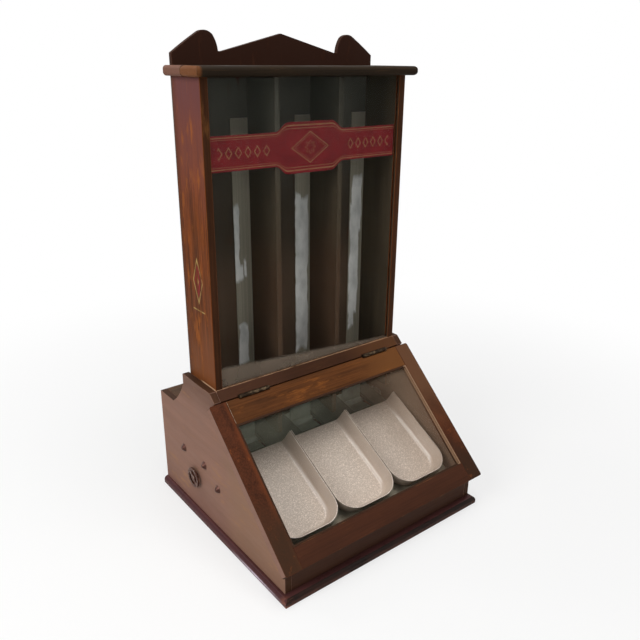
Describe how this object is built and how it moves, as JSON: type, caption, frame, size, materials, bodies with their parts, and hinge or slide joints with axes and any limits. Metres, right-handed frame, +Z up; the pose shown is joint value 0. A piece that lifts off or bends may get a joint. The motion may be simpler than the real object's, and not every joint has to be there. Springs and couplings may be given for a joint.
{
  "type": "counter display dispenser cabinet",
  "caption": "Counter cabinet with a glazed upright tower of goods lanes over a sloping hinged glass lid and pressed trays, fed by a wound spring motor.",
  "frame": {"origin": "centre of the plinth's underside", "axes": "+X to the right seen from the front, +Y to the back, +Z up the tower"},
  "size_m": [0.42, 0.3993, 0.7786],
  "materials": {
    "side_wood": "worn pinkish-brown varnish on a wide board",
    "frame_wood": "reddish-brown mahogany varnish, worn to orange in streaks",
    "tower_wood": "red-brown mahogany varnish with a soft sheen",
    "dark_wood": "dark purple-brown gloss varnish",
    "inner_wood": "dull dark brown stain",
    "deck_wood": "pale worn varnish",
    "bead_wood": "light glazing bead, worn at the edges",
    "tray_metal": "light warm-grey hammered speckle",
    "bright_metal": "bright plate with dull patches",
    "glass": "clear flat glass with a light haze",
    "brass": "aged brass",
    "steel": "dull bright steel"
  },
  "bodies": {
    "carcase": {"plinth": "dark_wood", "base_side_left": "side_wood", "base_side_right": "side_wood", "base_front_rail": "frame_wood", "base_back": "inner_wood", "rear_deck": "deck_wood", "tray_bed": "inner_wood", "cross_rail": "inner_wood", "chute_floor": "inner_wood", "hinge_rail": "frame_wood", "tray_left": "tray_metal", "tray_middle": "tray_metal", "tray_right": "tray_metal", "tower_side_left": "tower_wood", "tower_side_right": "tower_wood", "tower_back": "dark_wood", "lane_partition_left": "inner_wood", "lane_partition_right": "inner_wood", "guide_strip_left": "bright_metal", "guide_strip_middle": "bright_metal", "guide_strip_right": "bright_metal", "tower_glass": "glass", "top_board": "tower_wood", "rail_leaf_left": "brass", "rail_leaf_right": "brass", "rail_leaf_screws": "steel", "motor_plate_outer": "brass", "motor_plate_inner": "brass", "motor_pillars": "brass", "motor_screws": "steel", "feed_shaft_bearing": "steel", "click_spring": "steel", "winding_bush": "brass"},
    "lid": {"lid_stile_left": "frame_wood", "lid_stile_right": "frame_wood", "lid_rail_bottom": "frame_wood", "lid_rail_top": "frame_wood", "lid_glass": "glass", "lid_bead": "bead_wood", "lid_leaf_left": "brass", "lid_leaf_right": "brass", "hinge_pins": "brass", "lid_leaf_screws": "steel"},
    "loading_flap": {"loading_flap": "tower_wood", "flap_pins": "steel"},
    "winding_arbor": {"winding_arbor": "steel", "ratchet_wheel": "steel", "winding_key": "steel"},
    "spring_barrel": {"spring_barrel": "brass", "barrel_cap": "brass", "mainspring": "steel"},
    "second_wheel": {"second_wheel": "brass"},
    "governor": {"governor_fly": "brass"},
    "feed_shaft": {"feed_shaft": "steel", "feed_gear": "brass", "feed_wheel_left": "bright_metal", "feed_wheel_middle": "bright_metal", "feed_wheel_right": "bright_metal"},
    "click": {"click": "steel"}
  },
  "joints": [
    {"name": "lid_hinge", "type": "hinge", "parent": "carcase", "child": "lid", "pos_m": [0, -0.00126, 0.24673], "axis": [-1, 0, 0], "range_deg": [0, 135]},
    {"name": "flap_hinge", "type": "hinge", "parent": "carcase", "child": "loading_flap", "pos_m": [0, 0.0391, 0.725], "axis": [-1, 0, 0], "range_deg": [0, 91]},
    {"name": "winding_spin", "type": "hinge", "parent": "carcase", "child": "winding_arbor", "pos_m": [-0.18, 0.0776, 0.075], "axis": [1, 0, 0], "continuous": true},
    {"name": "barrel_spin", "type": "hinge", "parent": "carcase", "child": "spring_barrel", "pos_m": [-0.17, 0.0776, 0.075], "axis": [1, 0, 0], "continuous": true},
    {"name": "second_spin", "type": "hinge", "parent": "carcase", "child": "second_wheel", "pos_m": [-0.17, 0.03535, 0.06272], "axis": [1, 0, 0], "continuous": true},
    {"name": "governor_spin", "type": "hinge", "parent": "carcase", "child": "governor", "pos_m": [-0.17, 0.01456, 0.07472], "axis": [1, 0, 0], "continuous": true},
    {"name": "feed_spin", "type": "hinge", "parent": "carcase", "child": "feed_shaft", "pos_m": [0, 0.05049, 0.124], "axis": [1, 0, 0], "continuous": true},
    {"name": "click_pivot", "type": "hinge", "parent": "carcase", "child": "click", "pos_m": [-0.153, 0.07048, 0.09262], "axis": [1, 0, 0], "range_deg": [0, 12], "stiffness_Nm_per_rad": 0.02, "springref_deg": -11.46, "deforming": ["click_spring"]}
  ],
  "couplings": [
    {"joint": "second_spin", "follows": "barrel_spin", "ratio": -4.5},
    {"joint": "governor_spin", "follows": "barrel_spin", "ratio": 18},
    {"joint": "feed_spin", "follows": "barrel_spin", "ratio": -1.8}
  ]
}
